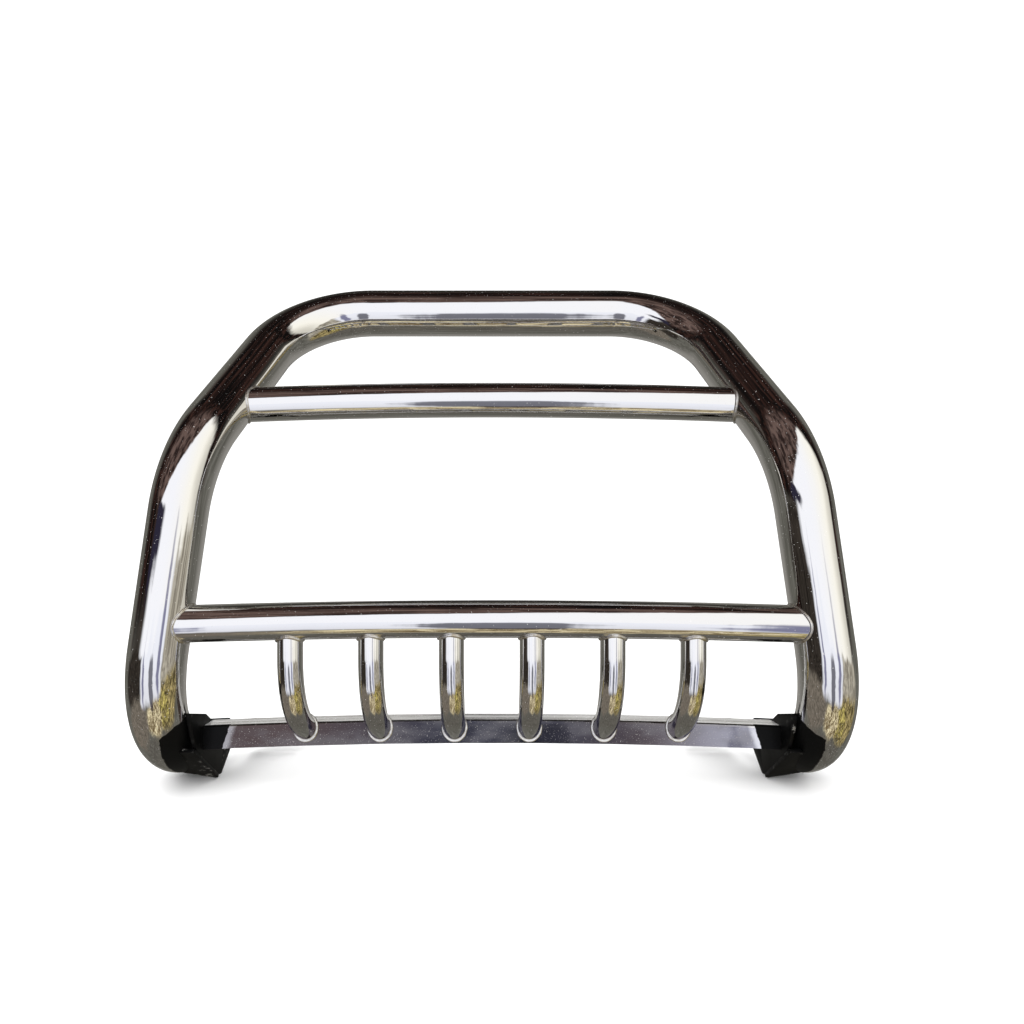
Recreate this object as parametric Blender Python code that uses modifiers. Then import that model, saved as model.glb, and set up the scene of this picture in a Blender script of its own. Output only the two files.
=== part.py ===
"""Front grille guard: a bent tube hoop with two cross tubes, six short tubes down to a folded skid strip,
and on each side a welded bracket with a bolted chassis arm.

Metres, +Z up. The guard faces -Y and +X is its right side seen from the front. The origin is midway between
the two chassis feet, on their rear faces, at the height of their slots.
"""

import math

import bmesh
import bpy
from mathutils import Matrix, Vector

# Tubes
HOOP_RADIUS = 0.0381
BAR_RADIUS = 0.0254
TOOTH_RADIUS = 0.0170
WALL = 0.0020
HOOP_SIDES = 20
BAR_SIDES = 20
TOOTH_SIDES = 16
GAP = 0.0003

# Hoop: corner points of its centreline on the +X side, and the bend radius at each
SIDE_PLANE_Y = -0.273
LOWER_CORNER = Vector((0.478, SIDE_PLANE_Y, 0.0075))
SHOULDER = Vector((0.4135, SIDE_PLANE_Y, 0.4475))
TOP_CORNER = Vector((0.3345, -0.0095, 0.7255))
HOOP_END_Y = -0.085
LOWER_BEND = 0.184
SHOULDER_BEND = 0.192
TOP_BEND = 0.161
ARC_STEP = math.radians(9)
CUTTER_REACH = 0.05
SHARP_ANGLE = math.radians(32)

# Cross tubes: depth and height at the middle, and how far the ends drop
UPPER_BAR_Y = -0.183
UPPER_BAR_Z = 0.5415
UPPER_BAR_DROP = 0.008
LOWER_BAR_Y = -0.276
LOWER_BAR_Z = 0.2275
LOWER_BAR_DROP = 0.0075
BAR_SEGMENTS = 8

# Teeth
TOOTH_PITCH = 0.109
TEETH = 6
TOOTH_BEND_START_Z = 0.1743
TOOTH_BEND = 0.120
TOOTH_TURN = math.radians(60)
TOOTH_OVERRUN = 0.036

# Skid strip: a folded sheet with a top flange and a front face
STRIP_FACE_Y = -0.198
STRIP_BOTTOM_Z = 0.037
STRIP_TOP_Z = 0.0712
STRIP_BEVEL = 0.0032
STRIP_FLANGE = 0.036
STRIP_SHEET = 0.0020
STRIP_DROP = 0.0095
STRIP_SEGMENTS = 16
FOLD_SHARE = 0.3
BEHIND_LOW = Vector((-0.4, STRIP_FACE_Y - GAP, -0.1))
BEHIND_HIGH = Vector((0.4, 0.1, 0.3))

# Brackets: the side plate stands inboard of the hoop's lower end
PLATE = 0.005
PLATE_INNER_X = 0.423
PLATE_OUTLINE = [
    (-0.248, 0.093), (-0.186, 0.077), (-0.168, 0.065), (-0.092, 0.047), (-0.080, 0.037),
    (-0.088, -0.003), (-0.126, -0.0307), (-0.1329, -0.0307), (-0.2189, 0.0323),
]
FOLD_TOP = Vector((0, -0.222, 0.028))
FOLD_BOTTOM = Vector((0, -0.136, -0.035))
GUSSET_OUTER_X = 0.471
GUSSET_TOP = 0.008
GUSSET_SLANT = 0.026
GUSSET_CORNER = Vector((0.006, 0.003))

# Chassis arms: a leg bolted on the side plate, and a slotted foot
ARM = 0.006
ARM_OUTLINE = [
    (-0.166, 0.055), (-0.100, 0.045), (-0.004, 0.0215), (-0.004, -0.0215), (-0.100, 0.003), (-0.166, 0.025),
]
FOOT = 0.008
FOOT_INNER_X = 0.332
FOOT_HALF_HEIGHT = 0.023
FOOT_SLOT_X = (0.354, 0.392)
WELD_STEP = 0.0015
SLOT_WIDTH = 0.012
SLOT_LENGTH = 0.022

# M12 fasteners through the side plate and the arm's leg
BOLT_POINTS = ((-0.140, 0.0400), (-0.106, 0.0290))
BOLT_RADIUS = 0.006
BOLT_HOLE_RADIUS = 0.0065
HEX_RADIUS = 0.0110
HEAD_HEIGHT = 0.0075
NUT_HEIGHT = 0.0100
WASHER_RADIUS = 0.0120
WASHER = 0.0025
THREAD_STICKS_OUT = 0.004
ROUND_SIDES = 16

CAP = 0.003
SIDES = (("left", -1), ("right", 1))


# Scene -------------------------------------------------------------------------------------------------

def clear_scene():
    for obj in list(bpy.data.objects):
        bpy.data.objects.remove(obj, do_unlink=True)


def new_collection(name, is_helper=False):
    collection = bpy.data.collections.new(name)
    bpy.context.scene.collection.children.link(collection)
    collection.hide_render = is_helper
    return collection


def new_material(name, colour, metallic, roughness):
    material = bpy.data.materials.new(name)
    material.use_nodes = True
    shader = material.node_tree.nodes["Principled BSDF"]
    shader.inputs["Base Color"].default_value = (*colour, 1)
    shader.inputs["Metallic"].default_value = metallic
    shader.inputs["Roughness"].default_value = roughness
    return material


clear_scene()
PARTS = new_collection("front_grille_guard")
CUTTERS = new_collection("cutters", is_helper=True)
POLISHED = new_material("polished_stainless", (0.78, 0.77, 0.75), 1.0, 0.06)
BLACK = new_material("black_paint", (0.012, 0.012, 0.013), 0.0, 0.35)
ZINC = new_material("zinc_plated", (0.62, 0.60, 0.52), 1.0, 0.32)


# Shapes ------------------------------------------------------------------------------------------------

def rounded_path(corners, radii):
    """The corners joined by straight runs, with an arc of the given radius at each inner corner."""
    points = [corners[0]]
    for before, corner, after, radius in zip(corners, corners[1:], corners[2:], radii):
        arrive = (corner - before).normalized()
        leave = (after - corner).normalized()
        turn = arrive.angle(leave)
        start = corner - arrive * radius * math.tan(turn / 2)
        axis = arrive.cross(leave).normalized()
        centre = start + axis.cross(arrive) * radius
        steps = max(2, round(turn / ARC_STEP))
        for step in range(steps + 1):
            swing = Matrix.Rotation(turn * step / steps, 3, axis)
            points.append(centre + swing @ (start - centre))
    points.append(corners[-1])
    return points


def curve_tube(name, points, radius, sides, capped):
    """A round tube's outer surface along the points, as a curve object."""
    curve = bpy.data.curves.new(name, "CURVE")
    curve.dimensions = "3D"
    curve.bevel_depth = radius
    curve.bevel_resolution = (sides - 4) // 2
    curve.use_fill_caps = capped
    spline = curve.splines.new("POLY")
    spline.points.add(len(points) - 1)
    for place, point in zip(spline.points, points):
        place.co = (*point, 1)
    obj = bpy.data.objects.new(name, curve)
    CUTTERS.objects.link(obj)
    return obj


def to_mesh(source, name, collection):
    """The curve as evaluated, made a mesh object with its loose caps welded; the curve is removed."""
    bpy.context.view_layer.update()
    graph = bpy.context.evaluated_depsgraph_get()
    mesh = bpy.data.meshes.new_from_object(source.evaluated_get(graph))
    work = bmesh.new()
    work.from_mesh(mesh)
    bmesh.ops.remove_doubles(work, verts=work.verts, dist=1e-6)
    bmesh.ops.recalc_face_normals(work, faces=work.faces)
    work.to_mesh(mesh)
    work.free()
    obj = bpy.data.objects.new(name, mesh)
    obj.matrix_world = source.matrix_world
    collection.objects.link(obj)
    bpy.data.objects.remove(source, do_unlink=True)
    return obj


def as_helper(obj):
    obj.hide_render = True
    obj.display_type = "WIRE"
    return obj


def finish(obj, name, material):
    obj.name = name
    obj.data.name = name
    obj.data.materials.clear()
    obj.data.materials.append(material)
    obj.data.shade_smooth()
    obj.data.set_sharp_from_angle(angle=SHARP_ANGLE)
    return obj


def solid_tube(name, points, radius, sides):
    """A solid round bar, used to cut what is fitted against a tube."""
    return as_helper(to_mesh(curve_tube("outline", points, radius, sides, True), name, CUTTERS))


def hollow_tube(name, points, radius, sides):
    """A tube with the real wall, open at both ends."""
    obj = to_mesh(curve_tube("outline", points, radius, sides, False), name, PARTS)
    wall = obj.modifiers.new("wall", "SOLIDIFY")
    wall.thickness = WALL
    wall.offset = -1
    wall.use_even_offset = True
    return finish(obj, name, POLISHED)


def cut(obj, cutter, operation="DIFFERENCE", solver="EXACT"):
    boolean = obj.modifiers.new("cut_by_" + cutter.name, "BOOLEAN")
    boolean.operation = operation
    boolean.solver = solver
    boolean.object = cutter
    return obj


def block(name, low, high):
    """A box between two corners, used as a cutter."""
    work = bmesh.new()
    bmesh.ops.create_cube(work, size=1)
    size = high - low
    middle = (high + low) / 2
    bmesh.ops.scale(work, vec=size, verts=work.verts)
    bmesh.ops.translate(work, vec=middle, verts=work.verts)
    mesh = bpy.data.meshes.new(name)
    work.to_mesh(mesh)
    work.free()
    obj = bpy.data.objects.new(name, mesh)
    CUTTERS.objects.link(obj)
    return as_helper(obj)


def circle(centre, radius, sides=ROUND_SIDES, start=0.0):
    angles = [start + 2 * math.pi * i / sides for i in range(sides)]
    return [(centre[0] + radius * math.cos(a), centre[1] + radius * math.sin(a)) for a in angles]


def slot(centre, length, width):
    """A slot's outline, with its length along the first axis."""
    reach = (length - width) / 2
    steps = ROUND_SIDES // 2
    outline = []
    for side, first in ((1, -math.pi / 2), (-1, math.pi / 2)):
        for i in range(steps + 1):
            angle = first + math.pi * i / steps
            x = centre[0] + side * reach + width / 2 * math.cos(angle)
            outline.append((x, centre[1] + width / 2 * math.sin(angle)))
    return outline


def flat_plate(name, outline, holes, thickness, placement, material):
    """A plate of the outline with holes, centred on the placement's local XY plane."""
    curve = bpy.data.curves.new(name, "CURVE")
    curve.dimensions = "2D"
    curve.fill_mode = "BOTH"
    curve.extrude = thickness / 2
    for loop in [outline, *holes]:
        spline = curve.splines.new("POLY")
        spline.points.add(len(loop) - 1)
        spline.use_cyclic_u = True
        for place, (x, y) in zip(spline.points, loop):
            place.co = (x, y, 0, 1)
    source = bpy.data.objects.new("outline", curve)
    source.matrix_world = placement
    CUTTERS.objects.link(source)
    return finish(to_mesh(source, name, PARTS), name, material)


def upright_plane(x):
    """Local X along world Y, local Y up, at the given world X."""
    return Matrix(((0, 0, 1, x), (1, 0, 0, 0), (0, 1, 0, 0), (0, 0, 0, 1)))


# The tubes ---------------------------------------------------------------------------------------------

def mirrored(point):
    return Vector((-point.x, point.y, point.z))


def hoop_path(extra=0.0):
    """The hoop's centreline from one lower end to the other; extra lengthens both ends."""
    end = Vector((LOWER_CORNER.x, HOOP_END_Y + extra, LOWER_CORNER.z))
    half = [end, LOWER_CORNER, SHOULDER, TOP_CORNER]
    corners = [mirrored(p) for p in half] + half[::-1]
    bends = [LOWER_BEND, SHOULDER_BEND, TOP_BEND]
    return rounded_path(corners, bends + bends[::-1])


def hoop_centre_x(point_z):
    """The hoop's half width at a height on its straight side or on its leaning leg."""
    if point_z < SHOULDER.z:
        low, high = LOWER_CORNER, SHOULDER
    else:
        low, high = SHOULDER, TOP_CORNER
    return low.x + (high.x - low.x) * (point_z - low.z) / (high.z - low.z)


def arched_path(half, y, z, drop):
    """A gently arched line across the guard, from -half to +half."""
    places = [half * (2 * i / BAR_SEGMENTS - 1) for i in range(BAR_SEGMENTS + 1)]
    return [Vector((x, y, z - drop * (x / half) ** 2)) for x in places]


def build_hoop():
    hollow_tube("main_hoop", hoop_path(), HOOP_RADIUS, HOOP_SIDES)
    facet_gap = GAP / math.cos(math.pi / HOOP_SIDES)
    return solid_tube("hoop_clearance", hoop_path(CUTTER_REACH), HOOP_RADIUS + facet_gap, HOOP_SIDES)


def build_bar(name, y, z, drop, hoop_cutter):
    path = arched_path(hoop_centre_x(z), y, z, drop)
    cut(hollow_tube(name, path, BAR_RADIUS, BAR_SIDES), hoop_cutter)
    facet_gap = GAP / math.cos(math.pi / BAR_SIDES)
    return solid_tube(name + "_clearance", path, BAR_RADIUS + facet_gap, BAR_SIDES)


def lower_bar_z(x):
    return LOWER_BAR_Z - LOWER_BAR_DROP * (x / hoop_centre_x(LOWER_BAR_Z)) ** 2


def tooth_path(x):
    """Straight down from the lower cross tube's axis, then an arc back to just past the strip's face."""
    points = [Vector((x, LOWER_BAR_Y, lower_bar_z(x)))]
    steps = round(TOOTH_TURN / ARC_STEP)
    for step in range(steps + 1):
        angle = TOOTH_TURN * step / steps
        back = TOOTH_BEND * (1 - math.cos(angle))
        down = TOOTH_BEND * math.sin(angle)
        points.append(Vector((x, LOWER_BAR_Y + back, TOOTH_BEND_START_Z - down)))
    past_face = Vector((0, math.sin(TOOTH_TURN), -math.cos(TOOTH_TURN))) * TOOTH_OVERRUN
    points.append(points[-1] + past_face)
    return points


def build_teeth(bar_cutter):
    behind_face = block("behind_strip_face", BEHIND_LOW, BEHIND_HIGH)
    for i in range(TEETH):
        x = TOOTH_PITCH * (i - (TEETH - 1) / 2)
        tooth = hollow_tube(f"tooth_{i + 1}", tooth_path(x), TOOTH_RADIUS, TOOTH_SIDES)
        cut(cut(tooth, bar_cutter), behind_face)


# The strip ---------------------------------------------------------------------------------------------

def build_strip():
    """An open sheet along X through the folded profile, given its thickness behind the face."""
    half = PLATE_INNER_X - GAP
    profile = [
        (STRIP_FACE_Y, STRIP_BOTTOM_Z),
        (STRIP_FACE_Y, STRIP_TOP_Z - STRIP_BEVEL),
        (STRIP_FACE_Y + STRIP_BEVEL * FOLD_SHARE, STRIP_TOP_Z - STRIP_BEVEL * FOLD_SHARE),
        (STRIP_FACE_Y + STRIP_BEVEL, STRIP_TOP_Z),
        (STRIP_FACE_Y + STRIP_FLANGE, STRIP_TOP_Z),
    ]
    work = bmesh.new()
    columns = []
    for i in range(STRIP_SEGMENTS + 1):
        x = half * (2 * i / STRIP_SEGMENTS - 1)
        drop = STRIP_DROP * (x / half) ** 2
        columns.append([work.verts.new((x, y, z - drop)) for y, z in profile])
    for left, right in zip(columns, columns[1:]):
        for j in range(len(profile) - 1):
            work.faces.new((left[j], right[j], right[j + 1], left[j + 1]))
    mesh = bpy.data.meshes.new("skid_strip")
    work.to_mesh(mesh)
    work.free()
    strip = bpy.data.objects.new("skid_strip", mesh)
    PARTS.objects.link(strip)
    sheet = strip.modifiers.new("sheet", "SOLIDIFY")
    sheet.thickness = STRIP_SHEET
    sheet.offset = -1
    sheet.use_even_offset = True
    finish(strip, "skid_strip", POLISHED)


# The brackets ------------------------------------------------------------------------------------------

def build_side_plate(side, sign, hoop_cutter):
    """The upright plate beside the hoop's lower end, drilled for the two bolts."""
    holes = [circle(point, BOLT_HOLE_RADIUS) for point in BOLT_POINTS]
    placement = upright_plane(sign * (PLATE_INNER_X + PLATE / 2))
    plate = flat_plate(f"side_plate_{side}", PLATE_OUTLINE, holes, PLATE, placement, BLACK)
    cut(plate, hoop_cutter)


def build_gusset(side, sign, hoop_cutter):
    """The sloping plate in front of the side plate's lower edge, coped round the hoop's bend."""
    fold = FOLD_BOTTOM - FOLD_TOP
    length = fold.length
    along = fold.normalized()
    across = Vector((1, 0, 0))
    normal = across.cross(along)
    placement = Matrix((across, along, normal)).transposed().to_4x4()
    placement.translation = FOLD_TOP + normal * PLATE / 2
    inner, outer = PLATE_INNER_X, GUSSET_OUTER_X
    outline = [
        (inner, -GUSSET_TOP), (outer, -GUSSET_TOP), (outer, length - GUSSET_SLANT),
        (inner + GUSSET_CORNER.x, length), (inner, length - GUSSET_CORNER.y),
    ]
    outline = [(sign * x, y) for x, y in outline]
    gusset = flat_plate(f"gusset_{side}", outline, [], PLATE, placement, BLACK)
    return cut(gusset, hoop_cutter)


def build_arm(side, sign):
    """The leg on the side plate's inner face and the slotted foot, one bent plate."""
    leg_outer = PLATE_INNER_X - GAP
    leg_x = sign * (leg_outer - ARM / 2)
    holes = [circle(point, BOLT_HOLE_RADIUS) for point in BOLT_POINTS]
    name = f"chassis_arm_{side}"
    arm = flat_plate(name, ARM_OUTLINE, holes, ARM, upright_plane(leg_x), BLACK)
    foot_outer = leg_outer - WELD_STEP
    foot_outline = [
        (FOOT_INNER_X, -FOOT_HALF_HEIGHT), (foot_outer, -FOOT_HALF_HEIGHT),
        (foot_outer, FOOT_HALF_HEIGHT), (FOOT_INNER_X, FOOT_HALF_HEIGHT),
    ]
    foot_outline = [(sign * x, z) for x, z in foot_outline]
    slots = [slot((sign * x, 0), SLOT_LENGTH, SLOT_WIDTH) for x in FOOT_SLOT_X]
    facing_back = Matrix(((1, 0, 0, 0), (0, 0, -1, -FOOT / 2), (0, 1, 0, 0), (0, 0, 0, 1)))
    foot = flat_plate(name + "_foot", foot_outline, slots, FOOT, facing_back, BLACK)
    PARTS.objects.unlink(foot)
    CUTTERS.objects.link(foot)
    cut(arm, as_helper(foot), "UNION", "MANIFOLD")


def hexagon_plate(name, height, hole_radius, x, point):
    holes = [circle(point, hole_radius)] if hole_radius else []
    return flat_plate(name, circle(point, HEX_RADIUS, 6), holes, height, upright_plane(x), ZINC)


def build_fastener(side, sign, number, point):
    """A hex bolt from the outboard side, a washer under its head and under its nut, and the nut inboard."""
    leg_inner = PLATE_INNER_X - GAP - ARM
    plate_outer = PLATE_INNER_X + PLATE
    name = f"{side}_{number}"

    head_washer_x = plate_outer + GAP + WASHER / 2
    nut_washer_x = leg_inner - GAP - WASHER / 2
    for where, x in (("head_washer", head_washer_x), ("nut_washer", nut_washer_x)):
        hole = [circle(point, BOLT_HOLE_RADIUS)]
        plane = upright_plane(sign * x)
        flat_plate(f"{where}_{name}", circle(point, WASHER_RADIUS), hole, WASHER, plane, ZINC)

    nut_x = nut_washer_x - WASHER / 2 - GAP - NUT_HEIGHT / 2
    hexagon_plate(f"nut_{name}", NUT_HEIGHT, BOLT_RADIUS + GAP, sign * nut_x, point)

    head_x = head_washer_x + WASHER / 2 + GAP + HEAD_HEIGHT / 2
    bolt = hexagon_plate(f"bolt_{name}", HEAD_HEIGHT, 0, sign * head_x, point)
    tip_x = nut_x - NUT_HEIGHT / 2 - THREAD_STICKS_OUT
    plane = upright_plane(sign * (head_x + tip_x) / 2)
    shank = flat_plate(f"shank_{name}", circle(point, BOLT_RADIUS), [], head_x - tip_x, plane, ZINC)
    PARTS.objects.unlink(shank)
    CUTTERS.objects.link(shank)
    cut(bolt, as_helper(shank), "UNION")


def build_end_cap(side, sign):
    """The disc that closes the hoop's lower end."""
    centre = (sign * LOWER_CORNER.x, LOWER_CORNER.z)
    y = HOOP_END_Y + GAP + CAP / 2
    facing_back = Matrix(((1, 0, 0, 0), (0, 0, -1, y), (0, 1, 0, 0), (0, 0, 0, 1)))
    flat_plate(f"end_cap_{side}", circle(centre, HOOP_RADIUS, HOOP_SIDES), [], CAP, facing_back, BLACK)


def build_bracket(side, sign, hoop_cutter):
    build_side_plate(side, sign, hoop_cutter)
    build_gusset(side, sign, hoop_cutter)
    build_arm(side, sign)
    build_end_cap(side, sign)
    for number, point in enumerate(BOLT_POINTS, start=1):
        build_fastener(side, sign, number, point)


def main():
    hoop_cutter = build_hoop()
    build_bar("upper_crossbar", UPPER_BAR_Y, UPPER_BAR_Z, UPPER_BAR_DROP, hoop_cutter)
    bar_cutter = build_bar("lower_crossbar", LOWER_BAR_Y, LOWER_BAR_Z, LOWER_BAR_DROP, hoop_cutter)
    build_teeth(bar_cutter)
    build_strip()
    for side, sign in SIDES:
        build_bracket(side, sign, hoop_cutter)


main()
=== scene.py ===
"""Looks of the front grille guard: smooth polished tubes with weld beads, a folded mirror strip, and black
painted brackets with bolts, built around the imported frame. Metres, +Z up, the guard faces -Y."""

import math

import bmesh
import bpy
import numpy as np
from mathutils import Matrix, Vector, noise
from mathutils.kdtree import KDTree


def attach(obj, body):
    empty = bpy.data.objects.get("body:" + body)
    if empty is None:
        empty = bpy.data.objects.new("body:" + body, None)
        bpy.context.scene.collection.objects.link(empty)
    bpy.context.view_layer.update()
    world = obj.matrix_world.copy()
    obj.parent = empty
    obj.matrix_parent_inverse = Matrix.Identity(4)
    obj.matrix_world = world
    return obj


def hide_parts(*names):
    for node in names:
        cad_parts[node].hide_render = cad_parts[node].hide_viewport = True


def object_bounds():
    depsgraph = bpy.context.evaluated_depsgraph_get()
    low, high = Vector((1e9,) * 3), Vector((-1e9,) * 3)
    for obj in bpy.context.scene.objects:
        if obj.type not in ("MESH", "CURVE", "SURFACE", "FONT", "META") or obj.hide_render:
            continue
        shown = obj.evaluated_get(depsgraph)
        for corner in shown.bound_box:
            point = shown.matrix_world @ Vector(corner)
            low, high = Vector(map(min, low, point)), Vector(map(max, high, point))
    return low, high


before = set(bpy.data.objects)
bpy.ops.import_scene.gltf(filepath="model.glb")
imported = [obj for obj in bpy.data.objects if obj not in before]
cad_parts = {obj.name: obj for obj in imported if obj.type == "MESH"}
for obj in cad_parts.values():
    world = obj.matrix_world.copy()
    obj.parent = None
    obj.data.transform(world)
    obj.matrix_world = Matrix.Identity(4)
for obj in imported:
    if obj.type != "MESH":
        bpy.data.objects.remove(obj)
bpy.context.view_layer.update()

# The guard's driving sizes
HOOP_RADIUS = 0.0381
BAR_RADIUS = 0.0254
TOOTH_RADIUS = 0.0170
WALL = 0.0020
GAP = 0.0003
SIDE_PLANE_Y = -0.273
LOWER_CORNER = (0.478, SIDE_PLANE_Y, 0.0075)
SHOULDER = (0.4135, SIDE_PLANE_Y, 0.4475)
TOP_CORNER = (0.3345, -0.0095, 0.7255)
HOOP_END_Y = -0.085
BENDS = (0.184, 0.192, 0.161)
UPPER_BAR = (-0.183, 0.5415, 0.008)
LOWER_BAR = (-0.276, 0.2275, 0.0075)
TOOTH_PITCH = 0.109
TEETH = 6
TOOTH_BEND_START_Z = 0.1743
TOOTH_BEND = 0.120
TOOTH_TURN = math.radians(60)
TOOTH_OVERRUN = 0.036
STRIP_FACE_Y = -0.198
STRIP_BOTTOM_Z = 0.037
STRIP_TOP_Z = 0.0712
STRIP_FLANGE = 0.036
STRIP_SHEET = 0.0020
STRIP_DROP = 0.0095
STRIP_FOLD = 0.0034
PLATE = 0.005
PLATE_INNER_X = 0.423
PLATE_OUTLINE = [
    (-0.248, 0.093), (-0.186, 0.077), (-0.168, 0.065), (-0.092, 0.047), (-0.080, 0.037),
    (-0.088, -0.003), (-0.126, -0.0307), (-0.1329, -0.0307), (-0.2189, 0.0323),
]
FOLD_TOP = Vector((0, -0.222, 0.028))
FOLD_BOTTOM = Vector((0, -0.136, -0.035))
GUSSET_OUTER_X = 0.471
GUSSET_TOP = 0.008
GUSSET_SLANT = 0.026
ARM = 0.006
ARM_OUTLINE = [
    (-0.166, 0.055), (-0.100, 0.045), (-0.004, 0.0215), (-0.004, -0.0215), (-0.100, 0.003), (-0.166, 0.025),
]
FOOT = 0.008
FOOT_INNER_X = 0.332
FOOT_HALF_HEIGHT = 0.023
FOOT_SLOT_X = (0.354, 0.392)
SLOT_WIDTH = 0.012
SLOT_LENGTH = 0.022
WELD_STEP = 0.0015
BOLT_POINTS = ((-0.140, 0.0400), (-0.106, 0.0290))
BOLT_RADIUS = 0.006
BOLT_HOLE_RADIUS = 0.0065
HEX_RADIUS = 0.0110
HEAD_HEIGHT = 0.0075
NUT_HEIGHT = 0.0100
WASHER_RADIUS = 0.0120
WASHER = 0.0025
THREAD_STICKS_OUT = 0.004
CAP = 0.003
BAR_BEAD = 0.0017
TOOTH_TOP_BEAD = 0.0021
TOOTH_FOOT_BEAD = 0.0020
GUSSET_BEAD = 0.0026
ARM_BEAD = 0.0028
CAP_BEAD = 0.0017
SIDES = (("left", -1), ("right", 1))

# How finely the pieces are drawn
HOOP_SIDES = 112
BAR_SIDES = 88
TOOTH_SIDES = 64
ARC_STEP = math.radians(1.6)


# Lines and tubes -----------------------------------------------------------------------------------------

class Route:
    """A line through points, with its running length and a frame along it that doesn't twist."""

    def __init__(self, points, first_normal):
        self.points = np.array(points, float)
        steps = np.diff(self.points, axis=0)
        lengths = np.linalg.norm(steps, axis=1)
        self.at = np.concatenate([[0.0], np.cumsum(lengths)])
        self.length = self.at[-1]
        ways = steps / lengths[:, None]
        tangents = np.vstack([ways[:1], ways[:-1] + ways[1:], ways[-1:]])
        self.tangents = tangents / np.linalg.norm(tangents, axis=1)[:, None]
        normals, normal = [], np.array(first_normal, float)
        for tangent in self.tangents:
            normal = normal - tangent * normal.dot(tangent)
            normal = normal / np.linalg.norm(normal)
            normals.append(normal)
        self.normals = np.array(normals)

    def sample(self, table, s):
        return np.stack([np.interp(s, self.at, table[:, k]) for k in range(3)], -1)

    def outward(self, s, angle):
        """The unit direction away from the line at a length along it and an angle round it."""
        tangent = self.sample(self.tangents, s)
        normal = self.sample(self.normals, s)
        across = np.cross(tangent, normal)
        way = np.cos(angle)[..., None] * normal + np.sin(angle)[..., None] * across
        return way / np.linalg.norm(way, axis=-1)[..., None]

    def surface(self, s, angle, radius):
        s, angle = np.broadcast_arrays(s, angle)
        return self.sample(self.points, s) + self.outward(s, angle) * radius

    def nearest(self, places):
        """Each place's closest point on the line."""
        flat = places.reshape(-1, 3)
        a, b = self.points[:-1], self.points[1:]
        ab = b - a
        best = np.full(len(flat), np.inf)
        close = np.zeros_like(flat)
        for start, way in zip(a, ab):
            t = np.clip(((flat - start) @ way) / way.dot(way), 0, 1)
            spot = start + t[:, None] * way
            gap = np.linalg.norm(flat - spot, axis=1)
            nearer = gap < best
            best[nearer] = gap[nearer]
            close[nearer] = spot[nearer]
        return close.reshape(places.shape), best.reshape(places.shape[:-1])


def rounded_points(corners, radii, step=ARC_STEP, run=0.012):
    """The corners joined by straight runs in short lengths, with a fine arc at each inner corner."""
    corners = [Vector(c) for c in corners]
    points = [corners[0]]

    def run_to(goal):
        start = points[-1]
        count = max(1, round((goal - start).length / run))
        for i in range(1, count + 1):
            points.append(start.lerp(goal, i / count))

    for before, corner, after, radius in zip(corners, corners[1:], corners[2:], radii):
        arrive = (corner - before).normalized()
        leave = (after - corner).normalized()
        turn = arrive.angle(leave)
        start = corner - arrive * radius * math.tan(turn / 2)
        run_to(start)
        axis = arrive.cross(leave).normalized()
        centre = start + axis.cross(arrive) * radius
        steps = max(4, round(turn / step))
        for i in range(1, steps + 1):
            swing = Matrix.Rotation(turn * i / steps, 3, axis)
            points.append(centre + swing @ (start - centre))
    run_to(corners[-1])
    return points


def hoop_route():
    half = [(LOWER_CORNER[0], HOOP_END_Y, LOWER_CORNER[2]), LOWER_CORNER, SHOULDER, TOP_CORNER]
    corners = [(-x, y, z) for x, y, z in half] + half[::-1]
    return Route(rounded_points(corners, BENDS + BENDS[::-1]), (1, 0, 0))


def hoop_centre_x(z):
    low, high = (LOWER_CORNER, SHOULDER) if z < SHOULDER[2] else (SHOULDER, TOP_CORNER)
    return low[0] + (high[0] - low[0]) * (z - low[2]) / (high[2] - low[2])


def bar_route(bar):
    y, z, drop = bar
    half = hoop_centre_x(z)
    xs = np.linspace(-half, half, 97)
    return Route([(x, y, z - drop * (x / half) ** 2) for x in xs], (0, -1, 0))


def lower_bar_z(x):
    y, z, drop = LOWER_BAR
    return z - drop * (x / hoop_centre_x(z)) ** 2


def tooth_route(x):
    y = LOWER_BAR[0]
    points = [(x, y, z) for z in np.linspace(lower_bar_z(x), TOOTH_BEND_START_Z, 12)]
    steps = round(TOOTH_TURN / ARC_STEP)
    for i in range(1, steps + 1):
        angle = TOOTH_TURN * i / steps
        back, down = TOOTH_BEND * (1 - math.cos(angle)), TOOTH_BEND * math.sin(angle)
        points.append((x, y + back, TOOTH_BEND_START_Z - down))
    last = points[-1]
    for i in range(1, 5):
        over = TOOTH_OVERRUN * i / 4
        points.append((x, last[1] + over * math.sin(TOOTH_TURN), last[2] - over * math.cos(TOOTH_TURN)))
    return Route(points, (0, -1, 0))


def where_crossed(route, radius, angles, inside, low, high):
    """For each angle, the length along the route where its surface line goes inside; low is outside."""
    low = np.full(len(angles), float(low))
    high = np.full(len(angles), float(high))
    for _ in range(34):
        middle = (low + high) / 2
        hit = inside(route.surface(middle, angles, radius))
        high = np.where(hit, middle, high)
        low = np.where(hit, low, middle)
    return (low + high) / 2


def round_angles(sides):
    return np.linspace(0, 2 * math.pi, sides, endpoint=False)


# Meshes and pieces ---------------------------------------------------------------------------------------

def placed(name, data):
    obj = bpy.data.objects.new(name, data)
    bpy.context.scene.collection.objects.link(obj)
    return obj


def cleaned(mesh, merge=0.0):
    """The mesh with close points joined and its faces turned outwards."""
    work = bmesh.new()
    work.from_mesh(mesh)
    if merge:
        bmesh.ops.remove_doubles(work, verts=work.verts, dist=merge)
    bmesh.ops.recalc_face_normals(work, faces=work.faces)
    work.to_mesh(mesh)
    work.free()
    return mesh


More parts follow.
